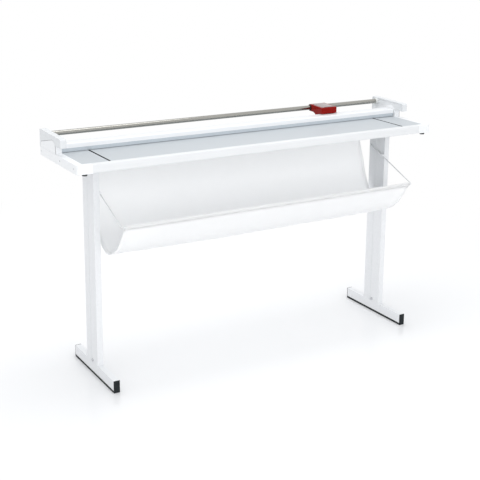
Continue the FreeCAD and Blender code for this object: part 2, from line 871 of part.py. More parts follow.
def catch_cloth():
    """The cloth trough, with a sleeve round each rod."""
    step = 2 * cloth_half_width / (cloth_stations - 1)
    sections = [cloth_section(-cloth_half_width + step * turn) for turn in range(cloth_stations)]
    sheet = Part.makeLoft(sections, True, True)
    front = ring(sleeve_radius, rod_radius + sleeve_gap, V(-cloth_half_width, rod_y, rod_z),
                 V(cloth_half_width, rod_y, rod_z))
    rear = ring(rear_sleeve_radius, rear_rod_radius + sleeve_gap,
                V(-cloth_half_width, rear_rod_y, rear_rod_z),
                V(cloth_half_width, rear_rod_y, rear_rod_z))
    return sheet.fuse([front, rear])


def front_rod():
    return ring(rod_radius, rod_radius - rod_wall, V(-rod_half_length, rod_y, rod_z),
                V(rod_half_length, rod_y, rod_z))


def rear_rod():
    return rod(rear_rod_radius, V(-rear_rod_half_length, rear_rod_y, rear_rod_z),
               V(rear_rod_half_length, rear_rod_y, rear_rod_z))


def rod_cap():
    """The cap on the front rod's end, with the arm through it."""
    start = V(rod_half_length, rod_y, rod_z)
    return ring(rod_cap_radius, arm_radius + arm_clearance, start,
                start + AXIS_X * rod_cap_thickness)


def wire_arm():
    """A bent wire from inside the front rod's end, along the column and into it."""
    corners = [V(rod_half_length + rod_cap_thickness - arm_rod_end, rod_y, rod_z),
               V(arm_x, rod_y, rod_z),
               V(arm_x, arm_rear_y, arm_rear_z),
               V(column_inner_x + arm_column_end, arm_rear_y, arm_rear_z)]
    path = Part.makePolygon(corners)
    section = Part.Wire([Part.Circle(corners[0], AXIS_X, arm_radius).toShape()])
    mitred = 1
    return path.makePipeShell([section], True, False, mitred)


def arm_clip():
    """A clip on the column's inner face, with the arm through it."""
    block = box((arm_x - arm_radius - clip_wall, column_inner_x),
                (clip_y - clip_length / 2, clip_y + clip_length / 2),
                (clip_z - clip_height / 2, clip_z + clip_height / 2))
    along = V(0, 1, arm_slope).normalize() * clip_length
    middle = V(arm_x, clip_y, clip_z)
    return block.cut(rod(arm_radius + arm_clearance, middle - along, middle + along))


def cloth_hook():
    """A plate under the table with a J round the rear rod, open to the front."""
    x = hook_x
    half = hook_width / 2
    inner = rear_rod_radius + hook_rod_gap
    outer = inner + hook_thickness
    centre = V(0, rear_rod_y, rear_rod_z)
    hook = ring(outer, inner, V(x - half, *centre[1:]), V(x + half, *centre[1:]))
    hook = hook.cut(box((x - half, x + half), (rear_rod_y - outer, rear_rod_y + inner),
                        (rear_rod_z, rear_rod_z + outer)))
    leg = box((x - half, x + half), (rear_rod_y + inner, rear_rod_y + outer),
              (rear_rod_z, table_bottom))
    plate = box((x - hook_plate_width / 2, x + hook_plate_width / 2),
                (rear_rod_y + inner, rear_rod_y + inner + hook_plate_length),
                (table_bottom - hook_thickness, table_bottom))
    return hook.fuse(leg).fuse(plate).removeSplitter()


# Export

def both(piece):
    """A right-hand piece and its mirror image, as one group."""
    return [piece, mirrored(piece)]


def export(name, solids):
    """Write one sub-part, moved so that the origin is in the middle of the outline."""
    shape = Part.makeCompound(solids) if isinstance(solids, list) else solids
    placed = shape.copy()
    placed.translate(V(0, -middle_y, 0))
    placed.exportStep("parts/" + name + ".step")


def export_pair(name, piece):
    export("right_" + name, piece)
    export("left_" + name, mirrored(piece))


def main():
    os.makedirs("parts", exist_ok=True)
    # Stand
    export_pair("column", column())
    export_pair("foot", foot())
    export_pair("foot_strip", foot_strip())
    export_pair("top_plate", top_plate())
    export("foot_spigots", both(foot_spigot()))
    export("front_foot_caps", both(foot_cap(-1)))
    export("rear_foot_caps", both(foot_cap(1)))
    export("column_bolts", [column_bolt(-1), column_bolt(1)])
    export("column_nuts", [column_nut(-1), column_nut(1)])
    # Table
    export("table_board", table_board())
    export("front_profile", front_profile())
    export_pair("end_cap", end_cap())
    export_pair("slot_liner", slot_liner())
    export("lower_blade", lower_blade())
    export("table_feet", [table_foot(place) for place in table_foot_places()])
    # Rails
    export_pair("rail_block", rail_block())
    export_pair("shaft_bracket", shaft_bracket())
    export("guide_shaft", guide_shaft())
    export("shaft_bumpers", both(shaft_bumper()))
    # Clamp
    export("clamp_beam", clamp_beam())
    export("clamp_strip", clamp_strip())
    export("clamp_pad", clamp_pad())
    export_pair("clamp_plug", clamp_plug())
    export("lift_springs", both(lift_spring()))
    # Cutting head
    export("head_body", head_body())
    export("head_lid", head_lid())
    export("shaft_bush", shaft_bush())
    export("rotary_blade", rotary_blade())
    export("blade_hub", blade_hub())
    export("blade_axle", blade_axle())
    export("pressure_roller", pressure_roller())
    export("roller_pin", roller_pin())
    # Catcher
    export("catch_cloth", catch_cloth())
    export("front_rod", front_rod())
    export("rear_rod", rear_rod())
    export("rod_caps", both(rod_cap()))
    export_pair("wire_arm", wire_arm())
    export("arm_clips", both(arm_clip()))
    export("cloth_hooks", both(cloth_hook()))


main()
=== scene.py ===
"""Looks of a sliding paper trimmer on a stand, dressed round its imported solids, in metres."""

import json
import math

import bmesh
import bpy
from mathutils import Matrix, Vector, noise


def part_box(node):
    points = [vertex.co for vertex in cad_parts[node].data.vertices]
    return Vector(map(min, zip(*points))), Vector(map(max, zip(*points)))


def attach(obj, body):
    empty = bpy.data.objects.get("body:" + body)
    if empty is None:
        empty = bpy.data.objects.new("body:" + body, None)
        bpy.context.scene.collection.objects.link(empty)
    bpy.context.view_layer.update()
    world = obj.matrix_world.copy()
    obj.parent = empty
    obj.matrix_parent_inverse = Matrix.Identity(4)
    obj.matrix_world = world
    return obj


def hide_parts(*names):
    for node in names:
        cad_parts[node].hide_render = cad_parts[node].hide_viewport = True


MM = 0.001

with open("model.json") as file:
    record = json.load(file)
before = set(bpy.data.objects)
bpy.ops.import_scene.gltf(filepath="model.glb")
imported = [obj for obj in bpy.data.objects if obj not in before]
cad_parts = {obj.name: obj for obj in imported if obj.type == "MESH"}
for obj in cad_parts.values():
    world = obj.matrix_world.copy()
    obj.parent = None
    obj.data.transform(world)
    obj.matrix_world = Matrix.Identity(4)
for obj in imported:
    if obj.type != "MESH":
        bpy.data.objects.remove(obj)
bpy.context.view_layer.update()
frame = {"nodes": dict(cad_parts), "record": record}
nodes = frame["nodes"]


# Camera, at the photograph's place and angle

picture_width = 480.0
focal_pixels = 1022.4
sensor_width = 36.0
camera_place = Vector((-2.1224, -3.5096, 1.7683))
camera_yaw = 0.53337
camera_pitch = 0.23539
camera_roll = 0.00967
camera_shift = 0.16
clip_near = 0.1
clip_far = 60.0


def make_camera():
    """A view from the front left and from above, its frame shifted down to take in the feet."""
    data = bpy.data.cameras.new("camera")
    data.sensor_width = sensor_width
    data.lens = sensor_width * focal_pixels / picture_width
    data.shift_y = -camera_shift
    data.clip_start = clip_near
    data.clip_end = clip_far
    camera = bpy.data.objects.new("camera", data)
    bpy.context.scene.collection.objects.link(camera)
    forward = Vector((math.sin(camera_yaw) * math.cos(camera_pitch),
                      math.cos(camera_yaw) * math.cos(camera_pitch),
                      -math.sin(camera_pitch)))
    level = Vector((math.cos(camera_yaw), -math.sin(camera_yaw), 0))
    above = level.cross(forward)
    right = level * math.cos(camera_roll) + above * math.sin(camera_roll)
    up = above * math.cos(camera_roll) - level * math.sin(camera_roll)
    turn = Matrix((right, up, -forward)).transposed()
    camera.matrix_world = Matrix.Translation(camera_place) @ turn.to_4x4()
    bpy.context.scene.camera = camera


# Stage: a pale floor that fades into white, a white surround and soft lamps

floor_size = 24.0
floor_colour = (0.86, 0.86, 0.865)
floor_roughness = 0.16
floor_ior = 1.35
# How far from the middle the floor starts to turn white, and where it has turned
floor_fade = (0.9, 2.6)
# The floor's own faint glow where it is seen
floor_lift = 0.02
world_colour = (0.97, 0.985, 1.0)
world_strength = 1.0


def stage_floor():
    """A flat square floor under the feet, which isn't part of the object."""
    mesh = bpy.data.meshes.new("floor")
    half = floor_size / 2
    mesh.from_pydata([(-half, -half, 0), (half, -half, 0), (half, half, 0), (-half, half, 0)],
                     [], [(0, 1, 2, 3)])
    floor = bpy.data.objects.new("floor", mesh)
    bpy.context.scene.collection.objects.link(floor)
    mesh.materials.append(floor_material())


def floor_material():
    """A satin white floor near the object, which turns plain white further out."""
    made = bpy.data.materials.new("floor")
    made.use_nodes = True
    tree = made.node_tree
    tree.nodes.clear()
    out = tree.nodes.new("ShaderNodeOutputMaterial")
    satin = tree.nodes.new("ShaderNodeBsdfPrincipled")
    satin.inputs["Base Color"].default_value = (*floor_colour, 1)
    satin.inputs["Roughness"].default_value = floor_roughness
    satin.inputs["IOR"].default_value = floor_ior
    white = tree.nodes.new("ShaderNodeEmission")
    white.inputs["Strength"].default_value = 1.0
    place = tree.nodes.new("ShaderNodeNewGeometry")
    reach = tree.nodes.new("ShaderNodeVectorMath")
    reach.operation = "LENGTH"
    fade = tree.nodes.new("ShaderNodeMapRange")
    fade.interpolation_type = "SMOOTHSTEP"
    fade.inputs["From Min"].default_value = floor_fade[0]
    fade.inputs["From Max"].default_value = floor_fade[1]
    lift = tree.nodes.new("ShaderNodeEmission")
    raised = tree.nodes.new("ShaderNodeAddShader")
    mix = tree.nodes.new("ShaderNodeMixShader")
    tree.links.new(place.outputs["Position"], reach.inputs[0])
    tree.links.new(reach.outputs["Value"], fade.inputs["Value"])
    seen = seen_directly(tree)
    both = tree.nodes.new("ShaderNodeMath")
    both.operation = "MULTIPLY"
    tree.links.new(fade.outputs["Result"], both.inputs[0])
    tree.links.new(seen, both.inputs[1])
    little = tree.nodes.new("ShaderNodeMath")
    little.operation = "MULTIPLY"
    little.inputs[1].default_value = floor_lift
    tree.links.new(seen, little.inputs[0])
    tree.links.new(little.outputs["Value"], lift.inputs["Strength"])
    tree.links.new(satin.outputs["BSDF"], raised.inputs[0])
    tree.links.new(lift.outputs["Emission"], raised.inputs[1])
    tree.links.new(both.outputs["Value"], mix.inputs["Fac"])
    tree.links.new(raised.outputs["Shader"], mix.inputs[1])
    tree.links.new(white.outputs["Emission"], mix.inputs[2])
    tree.links.new(mix.outputs["Shader"], out.inputs["Surface"])
    return made


def seen_directly(tree):
    """1 for what the camera sees straight, in a reflection or through something clear."""
    path = tree.nodes.new("ShaderNodeLightPath")
    total = None
    for ray in ("Is Camera Ray", "Is Glossy Ray", "Is Transmission Ray"):
        if total is None:
            total = path.outputs[ray]
            continue
        largest = tree.nodes.new("ShaderNodeMath")
        largest.operation = "MAXIMUM"
        tree.links.new(total, largest.inputs[0])
        tree.links.new(path.outputs[ray], largest.inputs[1])
        total = largest.outputs["Value"]
    return total


def stage_world():
    """White where it is seen, and a gentle even light on the object."""
    world = bpy.data.worlds.new("surround")
    bpy.context.scene.world = world
    world.use_nodes = True
    tree = world.node_tree
    tree.nodes.clear()
    out = tree.nodes.new("ShaderNodeOutputWorld")
    light = tree.nodes.new("ShaderNodeBackground")
    light.inputs["Color"].default_value = (*world_colour, 1)
    light.inputs["Strength"].default_value = world_strength
    white = tree.nodes.new("ShaderNodeBackground")
    white.inputs["Color"].default_value = (1, 1, 1, 1)
    white.inputs["Strength"].default_value = 1.0
    mix = tree.nodes.new("ShaderNodeMixShader")
    tree.links.new(seen_directly(tree), mix.inputs["Fac"])
    tree.links.new(light.outputs["Background"], mix.inputs[1])
    tree.links.new(white.outputs["Background"], mix.inputs[2])
    tree.links.new(mix.outputs["Shader"], out.inputs["Surface"])


def lamp(name, place, target, size, power, mirrored=True):
    """A rectangular soft lamp. One that isn't mirrored leaves no highlight on glossy things."""
    data = bpy.data.lights.new(name, "AREA")
    data.shape = "RECTANGLE"
    data.size = size[0]
    data.size_y = size[1]
    data.energy = power
    made = bpy.data.objects.new(name, data)
    bpy.context.scene.collection.objects.link(made)
    aim = Vector(target) - Vector(place)
    made.visible_glossy = mirrored
    made.location = place
    made.rotation_mode = "QUATERNION"
    made.rotation_quaternion = aim.to_track_quat("-Z", "Y")


def stage_lamps():
    """Soft lamps overhead, in front, behind and to the left."""
    lamp("overhead_softbox", place=(0, 0.05, 3.0), target=(0, 0, 0), size=(1.6, 0.8), power=12)
    lamp("front_softbox", place=(-1.0, -4.4, 1.3), target=(0, 0, 0.6), size=(2.6, 2.2), power=46)
    lamp("back_softbox", place=(0.8, 3.8, 1.2), target=(0, 0, 0.7), size=(2.6, 1.8), power=32,
         mirrored=False)
    lamp("side_softbox", place=(-4.2, -0.8, 1.6), target=(0, 0, 0.6), size=(2.0, 2.0), power=4)


# Materials

blotch_detail = 4.0
# The noise values between which a surface goes from its darker to its lighter tone
blotch_ends = (0.3, 0.7)
least_roughness = 0.02
edge_samples = 4
grain_detail = 3.0
grain_depth = 0.3 * MM


def vary_with(blotches, tree, shader, tones, roughness_range):
    """Lets a shader's colour and roughness run between two values each with a noise."""
    tint = tree.nodes.new("ShaderNodeValToRGB")
    for element, position, tone in zip(tint.color_ramp.elements, blotch_ends, tones):
        element.position = position
        element.color = (*tone, 1)
    tree.links.new(blotches.outputs["Fac"], tint.inputs["Fac"])
    tree.links.new(tint.outputs["Color"], shader.inputs["Base Color"])
    gloss = tree.nodes.new("ShaderNodeMapRange")
    gloss.inputs["To Min"].default_value = roughness_range[0]
    gloss.inputs["To Max"].default_value = roughness_range[1]
    tree.links.new(blotches.outputs["Fac"], gloss.inputs["Value"])
    tree.links.new(gloss.outputs["Result"], shader.inputs["Roughness"])


def material(name, colour, roughness, metallic=0.0, mottle=0.02, mottle_scale=90.0,
             grain=0.0, grain_scale=900.0, gloss_change=0.05, coat=0.0, specular=0.5,
             stretch=(1, 1, 1), edge=0.0):
    """A surface with a slightly uneven colour and gloss, and a fine grain standing out of it.

    The scales say how fine its blotches and grain are: a larger one is finer. stretch draws
    both out along an axis, as brushing does. edge rounds sharp corners in the light by that
    many metres.
    """
    made = bpy.data.materials.new(name)
    made.use_nodes = True
    tree = made.node_tree
    shader = tree.nodes["Principled BSDF"]
    shader.inputs["Metallic"].default_value = metallic
    shader.inputs["Coat Weight"].default_value = coat
    shader.inputs["Specular IOR Level"].default_value = specular
    place = tree.nodes.new("ShaderNodeTexCoord")
    scaled = tree.nodes.new("ShaderNodeMapping")
    scaled.inputs["Scale"].default_value = stretch
    tree.links.new(place.outputs["Object"], scaled.inputs["Vector"])

    blotches = tree.nodes.new("ShaderNodeTexNoise")
    blotches.inputs["Scale"].default_value = mottle_scale
    blotches.inputs["Detail"].default_value = blotch_detail
    tree.links.new(scaled.outputs["Vector"], blotches.inputs["Vector"])
    darker = [part * (1 - mottle) for part in colour]
    lighter = [min(1, part * (1 + mottle)) for part in colour]
    glossiest = max(least_roughness, roughness - gloss_change)
    dullest = min(1.0, roughness + gloss_change)
    vary_with(blotches, tree, shader, (darker, lighter), (glossiest, dullest))

    normal = None
    if edge:
        rounded = tree.nodes.new("ShaderNodeBevel")
        rounded.samples = edge_samples
        rounded.inputs["Radius"].default_value = edge
        normal = rounded.outputs["Normal"]
    if grain:
        fine = tree.nodes.new("ShaderNodeTexNoise")
        fine.inputs["Scale"].default_value = grain_scale
        fine.inputs["Detail"].default_value = grain_detail
        tree.links.new(scaled.outputs["Vector"], fine.inputs["Vector"])
        bump = tree.nodes.new("ShaderNodeBump")
        bump.inputs["Strength"].default_value = grain
        bump.inputs["Distance"].default_value = grain_depth
        tree.links.new(fine.outputs["Fac"], bump.inputs["Height"])
        if normal:
            tree.links.new(normal, bump.inputs["Normal"])
        normal = bump.outputs["Normal"]
    if normal:
        tree.links.new(normal, shader.inputs["Normal"])
    return made


# The looks of each material slot but the cloth's, and of the table's lip, whose darker white is
# painted shade
surfaces = {
    "powder_coat": dict(colour=(0.80, 0.81, 0.825), roughness=0.42, grain=0.12,
                        grain_scale=1300, edge=0.8 * MM),
    "black_plastic": dict(colour=(0.012, 0.016, 0.018), roughness=0.52, mottle=0.15,
                          grain=0.20, specular=0.2, edge=0.6 * MM),
    "zinc_screws": dict(colour=(0.62, 0.63, 0.65), roughness=0.28, metallic=1.0, mottle=0.08,
                        grain=0.08),
    "laminate": dict(colour=(0.525, 0.555, 0.58), roughness=0.42, mottle_scale=240,
                     grain=0.10, grain_scale=1600, specular=0.2),
    # The lip is white like the rest; this greyer copy paints the shade it lies in
    "lip_painted_shade": dict(colour=(0.77, 0.78, 0.79), roughness=0.38, grain=0.08,
                      stretch=(0.05, 1, 1), specular=0.3, edge=0.8 * MM),
    "white_plastic": dict(colour=(0.86, 0.87, 0.885), roughness=0.35, grain=0.10,
                          edge=0.8 * MM),
    "grey_casting": dict(colour=(0.74, 0.755, 0.77), roughness=0.46, grain=0.20,
                         grain_scale=700, edge=0.8 * MM),
    "white_aluminium": dict(colour=(0.86, 0.87, 0.885), roughness=0.33, grain=0.06,
                            stretch=(0.05, 1, 1), edge=0.6 * MM),
    "clear_plastic": dict(colour=(0.56, 0.61, 0.65), roughness=0.15, mottle=0.03, coat=0.3),
    "black_rubber": dict(colour=(0.025, 0.027, 0.028), roughness=0.62, mottle=0.2, grain=0.3),
    "pale_rubber": dict(colour=(0.70, 0.71, 0.70), roughness=0.55, grain=0.2),
    "polished_steel": dict(colour=(0.38, 0.375, 0.35), roughness=0.18, metallic=1.0,
                           mottle=0.04, grain=0.04, stretch=(0.03, 1, 1)),
    "blade_steel": dict(colour=(0.62, 0.63, 0.64), roughness=0.22, metallic=1.0,
                        mottle=0.05, grain=0.10, stretch=(0.04, 1, 1)),
    "red_plastic": dict(colour=(0.235, 0.004, 0.002), roughness=0.20, mottle=0.05,
                        grain=0.02, specular=0.12, edge=1.2 * MM),
    # The plate is silver; the pink in this colour is a painted reflection of the red head round it
    "silver_plate": dict(colour=(0.35, 0.29, 0.29), roughness=0.26, metallic=0.5,
                         mottle=0.015, grain=0.05, gloss_change=0.02, specular=0.3,
                         edge=0.5 * MM),
    "white_wire": dict(colour=(0.72, 0.725, 0.73), roughness=0.34, grain=0.08),
}


def make_materials():
    """One finish for each material slot, by the slot's name, and the table lip's darker copy,
    which paints its shade.
    """
    made = {name: material(name, **looks) for name, looks in surfaces.items()}
    made["cloth"] = cloth_material()
    return made


cloth_tones = ((0.93, 0.935, 0.94), (0.955, 0.96, 0.965))
cloth_roughness = (0.48, 0.62)
cloth_specular = 0.35
cloth_blotch_scale = 14.0
cloth_blotch_detail = 5.0
# How far light spreads inside the cloth
cloth_scatter = 4.0 * MM
# The length over which the weave's wave turns by one radian
weave_radian = 0.55 * MM
# How many radians a wave texture turns per unit of length at a scale of 1
wave_texture_turn = 20
weave_strength = 0.18
weave_depth = 0.15 * MM


def cloth_material():
    """White coated cloth: a plain weave under a smooth coat, laid out on the flat cloth."""
    made = bpy.data.materials.new("cloth")
    made.use_nodes = True
    tree = made.node_tree
    shader = tree.nodes["Principled BSDF"]
    shader.inputs["Subsurface Weight"].default_value = 1.0
    shader.inputs["Subsurface Radius"].default_value = (1.0, 1.0, 1.0)
    shader.inputs["Subsurface Scale"].default_value = cloth_scatter
    shader.inputs["Specular IOR Level"].default_value = cloth_specular
    place = tree.nodes.new("ShaderNodeTexCoord")
    blotches = tree.nodes.new("ShaderNodeTexNoise")
    blotches.inputs["Scale"].default_value = cloth_blotch_scale
    blotches.inputs["Detail"].default_value = cloth_blotch_detail
    tree.links.new(place.outputs["Object"], blotches.inputs["Vector"])
    vary_with(blotches, tree, shader, cloth_tones, cloth_roughness)
    weave = None
    for direction in ("X", "Y"):
        threads = tree.nodes.new("ShaderNodeTexWave")
        threads.wave_type = "BANDS"
        threads.bands_direction = direction
        threads.inputs["Scale"].default_value = 1 / (weave_radian * wave_texture_turn)
        tree.links.new(place.outputs["UV"], threads.inputs["Vector"])
        if weave is None:
            weave = threads.outputs["Fac"]
            continue
        crossed = tree.nodes.new("ShaderNodeMath")
        crossed.operation = "MULTIPLY"
        tree.links.new(weave, crossed.inputs[0])
        tree.links.new(threads.outputs["Fac"], crossed.inputs[1])
        weave = crossed.outputs["Value"]
    bump = tree.nodes.new("ShaderNodeBump")
    bump.inputs["Strength"].default_value = weave_strength
    bump.inputs["Distance"].default_value = weave_depth
    tree.links.new(weave, bump.inputs["Height"])
    tree.links.new(bump.outputs["Normal"], shader.inputs["Normal"])
    return made


# Pieces

ROOT = "stand_and_table"
# A screw head's shape, as shares of its height or radius
sunk_share = 0.15
rim_share = 0.25
socket_share = 0.34
socket_taper = 0.88
socket_floor = 0.45
dome_parts = 6
turn_steps = 24


def add_piece(name, mesh, slot, body=ROOT, smooth=True):
    """Links a mesh as a piece that rides on a body and has the slot's finish."""
    piece = bpy.data.objects.new(name, mesh)
    bpy.context.scene.collection.objects.link(piece)
    mesh.materials.clear()
    mesh.materials.append(finishes[slot])
    for face in mesh.polygons:
        face.use_smooth = smooth
    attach(piece, body)
    return piece


def mesh_from(build):
    """A mesh from what build does to an empty bmesh."""
    shape = bmesh.new()
    build(shape)
    bmesh.ops.recalc_face_normals(shape, faces=shape.faces)
    mesh = bpy.data.meshes.new("piece")
    shape.to_mesh(mesh)
    shape.free()
    return mesh


def turned(shape, profile, place):
    """Turns a profile of (radius, height) points round the Z of place. Radius 0 closes it."""
    rings = []
    for radius, height in profile:
        if radius == 0:
            rings.append([shape.verts.new(place @ Vector((0, 0, height)))])
            continue
        ring = []
        for step in range(turn_steps):
            angle = 2 * math.pi * step / turn_steps
            ring.append(shape.verts.new(place @ Vector((radius * math.cos(angle),
                                                        radius * math.sin(angle), height))))
        rings.append(ring)
    for lower, upper in zip(rings, rings[1:]):
        for step in range(turn_steps):
            after = (step + 1) % turn_steps
            corners = []
            for ring, turn in ((lower, step), (lower, after), (upper, after), (upper, step)):
                vert = ring[turn] if len(ring) > 1 else ring[0]
                if vert not in corners:
                    corners.append(vert)
            shape.faces.new(corners)


def wall(shape, lower, upper):
    """The four faces between two rings of four corners."""
    for number in range(4):
        after = (number + 1) % 4
        shape.faces.new((lower[number], lower[after], upper[after], upper[number]))


def facing(place, outward):
    """A matrix that puts a screw at place with its head outward along that direction."""
    turn = Vector(outward).to_track_quat("Z", "Y").to_matrix().to_4x4()
    return Matrix.Translation(Vector(place)) @ turn


def domed_head(shape, place, radius, height):
    """A domed screw head with a round socket in its top, standing at place."""
    profile = [(radius, -sunk_share * height), (radius, rim_share * height)]
    for part in range(1, dome_parts):
        angle = math.pi / 2 * part / dome_parts
        profile.append((radius * math.cos(angle),
                        height * (rim_share + (1 - rim_share) * math.sin(angle))))
    profile.append((socket_share * radius, height))
    profile.append((socket_share * socket_taper * radius, socket_floor * height))
    profile.append((0, socket_floor * height))
    turned(shape, profile, place)


def to_side(place):
    """Away from the middle, along the table."""
    return (math.copysign(1, place[0]), 0, 0)


UP = (0, 0, 1)
DOWN = (0, 0, -1)


def screws(name, radius, height, places, outward=None):
    """One piece of equal domed screws. Their heads face outward, or else away to each side."""

    def build(shape):
        for place in places:
            domed_head(shape, facing(place, outward or to_side(place)), radius, height)

    return add_piece(name, mesh_from(build), "zinc_screws", smooth=False)


# Where the screws stand, and their heads' radius and height
end_cap_screw = (3.6 * MM, 0.5 * MM)
end_cap_front_inset = 32 * MM
end_cap_middle_y = 15.9 * MM
end_cap_rear_inset = 12 * MM
blade_screw = (3.0 * MM, 0.35 * MM)
blade_screw_spacing = 190 * MM
blade_screws_each_way = 4
blade_screw_back = 2 * MM
table_screw = (4.0 * MM, 2.0 * MM)
table_screw_half_x = 33 * MM
table_screw_half_y = 63 * MM
hook_screw = (3.4 * MM, 1.8 * MM)
hook_screw_out = 7.5 * MM
hook_screw_forward = 17.3 * MM
hook_plate_gauge = 2 * MM
bracket_bolt = (4.2 * MM, 2.4 * MM)
bracket_bolt_inset = 12.5 * MM
bracket_bolt_y = (67.9 * MM, 135.9 * MM)


def fasteners():
    """The screws of the end caps, the lower blade, the top plates, the hooks and the brackets."""
    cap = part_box("right_end_cap")
    cap_middle_z = (cap[0].z + cap[1].z) / 2
    end_cap_y = (cap[0].y + end_cap_front_inset, end_cap_middle_y, cap[1].y - end_cap_rear_inset)
    screws("end_cap_screws", *end_cap_screw,
           [(side * cap[1].x, y, cap_middle_z) for side in (-1, 1) for y in end_cap_y])

    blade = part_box("lower_blade")
    blade_y = (blade[0].y + blade[1].y) / 2 + blade_screw_back
    numbers = range(-blade_screws_each_way, blade_screws_each_way + 1)
    screws("blade_screws", *blade_screw,
           [(blade_screw_spacing * number, blade_y, blade[1].z) for number in numbers], UP)

    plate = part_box("right_top_plate")
    plate_x = (plate[0].x + plate[1].x) / 2
    plate_y = (plate[0].y + plate[1].y) / 2
    screws("table_screws", *table_screw,
           [(side * (plate_x + table_screw_half_x * across),
             plate_y + table_screw_half_y * back, plate[0].z)
            for side in (-1, 1) for across in (-1, 1) for back in (-1, 1)], DOWN)

    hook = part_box("cloth_hooks")
    hook_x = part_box("catch_cloth")[1].x + hook_screw_out
    screws("hook_screws", *hook_screw,
           [(side * hook_x, hook[1].y - hook_screw_forward, hook[1].z - hook_plate_gauge)
            for side in (-1, 1)], DOWN)

    screws("bracket_bolts", *bracket_bolt,
           [(side * (cap[1].x - bracket_bolt_inset), y, cap[0].z)
            for side in (-1, 1) for y in bracket_bolt_y], DOWN)


bolt_head_radius = 6.5 * MM
# The domes' height as a share of the solid bolt heads', which they cover
bolt_dome_share = 1.05


def column_bolt_domes():
    """The domed heads of the two bolts through the columns, on each column's outer face."""
    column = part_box("right_column")
    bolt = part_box("column_bolts")
    y = (bolt[0].y + bolt[1].y) / 2
    z = (bolt[0].z + bolt[1].z) / 2
    rise = bolt[1].x - column[1].x
    screws("column_bolt_domes", bolt_head_radius, rise * bolt_dome_share,
           [(side * column[1].x, y, z) for side in (-1, 1)])


# The cloth trough

cloth_gauge = 1.2 * MM
table_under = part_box("table_board")[0].z
cloth_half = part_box("catch_cloth")[1].x
sag_depth = 6.0 * MM
# The cloth's line from the front rod to the rear one: Y and drop below the table, both in
# millimetres, and the share of the sag
cloth_line = ((-178.1, 262, 0.3), (-134.1, 313, 0.7), (-46.1, 352, 1.0), (35.9, 304, 0.7),
              (85.9, 228, 0.3), (111.9, 149, 0.1), (139.9, 77, 0.0))
cloth_line_steps = 4
front_flap_length = 20 * MM
rear_flap_length = 18 * MM
front_rod_wrap = 16 * MM
rear_rod_wrap = 11 * MM
sleeve_ease = 0.3 * MM
# How much of the cloth each sleeve takes, from its flap's edge to its seam
front_sleeve = 2 * front_flap_length + front_rod_wrap
rear_sleeve = 2 * rear_flap_length + rear_rod_wrap
# How far a flap's two layers are from its middle line, in gauges, and where along the flap
# they bulge and by how much
lap_gauges = 0.62
flap_swell_place = 0.72
flap_swell = 1.05
# Where the two layers part to go round the rod, in radii of their loop
neck_reach = 1.15
neck_half_width = 0.62
sleeve_steps = 8
# Two overlaid waves of the cloth: how fast each changes across and along it, the noise's
# layer, and the depth
ripple = (3.1, 4.0, 3.7, 1.6 * MM)
drape = (9.0, 1.4, 8.1, 0.9 * MM)


def rod_middle(node):
    """The Y and Z of a rod's axis, and its radius."""
    low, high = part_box(node)
    return (low.y + high.y) / 2, (low.z + high.z) / 2, (high.z - low.z) / 2


def smooth_line(points, steps):
    """Points along a smooth curve through the given ones, with the same number on each run."""
    found = []
    for number in range(len(points) - 1):
        before = points[max(number - 1, 0)]
        start, end = points[number], points[number + 1]
        after = points[min(number + 2, len(points) - 1)]
        for step in range(steps):
            t = step / steps
            found.append([0.5 * (2 * b + (c - a) * t + (2 * a - 5 * b + 4 * c - d) * t ** 2
                                 + (3 * b - a - 3 * c + d) * t ** 3)
                          for a, b, c, d in zip(before, start, end, after)])
    found.append(list(points[-1]))
    return found


def sleeve(rod, towards, flap):
    """The loop round a rod: from the stitched flap over the rod and back, as (Y, Z, share)."""
    y, z, rod_radius = rod
    radius = rod_radius + sleeve_ease + cloth_gauge / 2
    away = Vector((towards[0] - y, towards[1] - z)).normalized()
    across = Vector((-away.y, away.x))
    middle = Vector((y, z))
    lap = cloth_gauge * lap_gauges
    layer = [(away * flap, across * lap),
             (away * flap * flap_swell_place, across * lap * flap_swell),
             (away * radius * neck_reach, across * radius * neck_half_width)]
    points = [middle + out + aside for out, aside in layer]
    for step in range(sleeve_steps + 1):
        angle = math.pi * step / sleeve_steps
        points.append(middle + across * (radius * math.cos(angle))
                      - away * (radius * math.sin(angle)))
    points.extend(middle + out - aside for out, aside in reversed(layer))
    return [(point.x, point.y, 0.0) for point in points]


def cloth_profile():
    """The whole line of the cloth across its width: flap, sleeve, trough, sleeve, flap."""
    front = rod_middle("front_rod")
    rear = rod_middle("rear_rod")
    trough = [(y * MM, table_under - drop * MM, share) for y, drop, share in cloth_line]
    ahead = sleeve(front, trough[0], front_flap_length)
    behind = sleeve(rear, trough[-1], rear_flap_length)
    behind.reverse()
    return smooth_line(ahead + trough + behind, cloth_line_steps)


def along_profile(line):
    """How far along the cloth each of the line's points is, from the front flap's edge."""
    far = [0.0]
    for before, after in zip(line, line[1:]):
        far.append(far[-1] + math.hypot(after[0] - before[0], after[1] - before[1]))
    return far


def line_normals(line):
    """The direction square to the line at each point, to the left of the way it runs."""
    found = []
    for number in range(len(line)):
        before = line[max(number - 1, 0)]
        after = line[min(number + 1, len(line) - 1)]
        run = Vector((after[0] - before[0], after[1] - before[1])).normalized()
        found.append(Vector((-run.y, run.x)))
    return found


def wave_push(wave, x, far):
    """How far one of the cloth's waves pushes it, at one place across and along it."""
    across, along, layer, depth = wave
    return noise.noise(Vector((x * across, far * along, layer))) * depth


def cloth_point(x, row, lift=0.0):
    """A point of the hung cloth at one place across it and one row of its line."""
    y, z, share = cloth_rows[row]
    normal = cloth_normals[row]
    middle = 1 - (x / cloth_half) ** 2
    z -= sag_depth * share * middle
    waves = wave_push(ripple, x, cloth_far[row]) + wave_push(drape, x, cloth_far[row])
    push = waves * share + lift
    return Vector((x, y + normal.x * push, z + normal.y * push))


